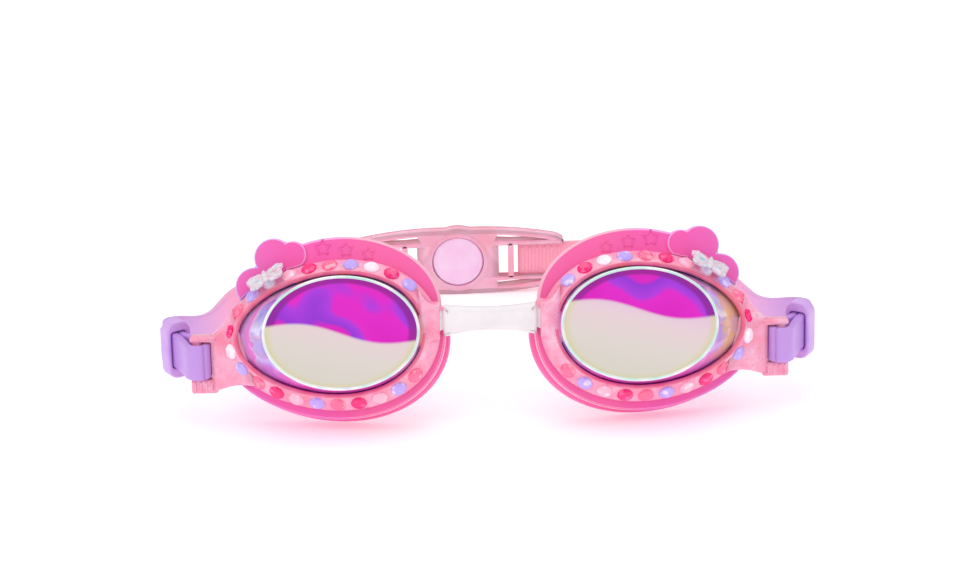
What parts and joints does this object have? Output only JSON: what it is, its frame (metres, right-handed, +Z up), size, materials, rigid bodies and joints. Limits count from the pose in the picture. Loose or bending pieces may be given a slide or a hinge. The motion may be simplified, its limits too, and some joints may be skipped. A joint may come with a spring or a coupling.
{
  "type": "swim goggles",
  "caption": "Child's swim goggles with mirrored oval lenses, stone-set rims, soft gaskets and a split strap with a rear buckle.",
  "frame": {"origin": "on the resting surface, under the middle of the bounding box", "axes": "+Z up, -Y the way the lenses look, +X right as the front is seen"},
  "size_m": [0.1648, 0.1142, 0.0455],
  "materials": {
    "frame_pink": "translucent pink with fine glitter",
    "lens_mirror": "mirrored magenta and violet coating",
    "gasket_soft": "soft silicone, pink to lilac",
    "bridge_white": "soft white silicone",
    "strap_lilac": "soft silicone, lilac to pink at the rear",
    "keeper_lilac": "soft lilac silicone",
    "buckle_pink": "clear pink",
    "badge_pale": "pale pink inlay",
    "charm_pearl": "iridescent",
    "stone_hot_pink": "faceted",
    "stone_rose": "faceted",
    "stone_pale_pink": "faceted",
    "stone_lilac": "faceted",
    "stone_clear": "faceted"
  },
  "bodies": {
    "bridge": {"nose_bridge": "bridge_white"},
    "eye_right": {"frame_right": "frame_pink", "lens_right": "lens_mirror", "gasket_right": "gasket_soft", "charm_right": "charm_pearl", "stones_hot_pink_right": "stone_hot_pink", "stones_rose_right": "stone_rose", "stones_pale_pink_right": "stone_pale_pink", "stones_lilac_right": "stone_lilac", "stones_clear_right": "stone_clear"},
    "strap_right": {"strap_right": "strap_lilac"},
    "keeper_right": {"strap_keeper_right": "keeper_lilac"},
    "eye_left": {"frame_left": "frame_pink", "lens_left": "lens_mirror", "gasket_left": "gasket_soft", "charm_left": "charm_pearl", "stones_hot_pink_left": "stone_hot_pink", "stones_rose_left": "stone_rose", "stones_pale_pink_left": "stone_pale_pink", "stones_lilac_left": "stone_lilac", "stones_clear_left": "stone_clear"},
    "strap_left": {"strap_left": "strap_lilac"},
    "keeper_left": {"strap_keeper_left": "keeper_lilac"},
    "buckle": {"rear_buckle": "buckle_pink", "buckle_badge": "badge_pale"}
  },
  "joints": [
    {"name": "eye_right_flex", "type": "hinge", "parent": "bridge", "child": "eye_right", "pos_m": [0.0131, -0.04741, 0.02763], "axis": [0, 0, 1], "range_deg": [-5, 8]},
    {"name": "eye_left_flex", "type": "hinge", "parent": "bridge", "child": "eye_left", "pos_m": [-0.0131, -0.04741, 0.02763], "axis": [0, 0, 1], "range_deg": [-8, 5]},
    {"name": "strap_right_turn", "type": "hinge", "parent": "eye_right", "child": "strap_right", "pos_m": [0.0725, -0.04061, 0.0169], "axis": [0, 0, 1], "range_deg": [-8, 5]},
    {"name": "strap_left_turn", "type": "hinge", "parent": "eye_left", "child": "strap_left", "pos_m": [-0.0725, -0.04061, 0.0169], "axis": [0, 0, 1], "range_deg": [-5, 8]},
    {"name": "keeper_right_slide", "type": "slide", "parent": "strap_right", "child": "keeper_right", "axis": [0.5299, 0.848, 0], "range_m": [-0.0005, 0.0025]},
    {"name": "keeper_left_slide", "type": "slide", "parent": "strap_left", "child": "keeper_left", "axis": [-0.5299, 0.848, 0], "range_m": [-0.0005, 0.0025]},
    {"name": "buckle_slide", "type": "slide", "parent": "strap_left", "child": "buckle", "axis": [1, 0, 0], "range_m": [-0.0015, 0.0015]}
  ],
  "couplings": [
    {"joint": "eye_left_flex", "follows": "eye_right_flex", "ratio": -1},
    {"joint": "strap_right_turn", "follows": "eye_right_flex", "ratio": -1},
    {"joint": "strap_left_turn", "follows": "eye_right_flex", "ratio": 1}
  ]
}
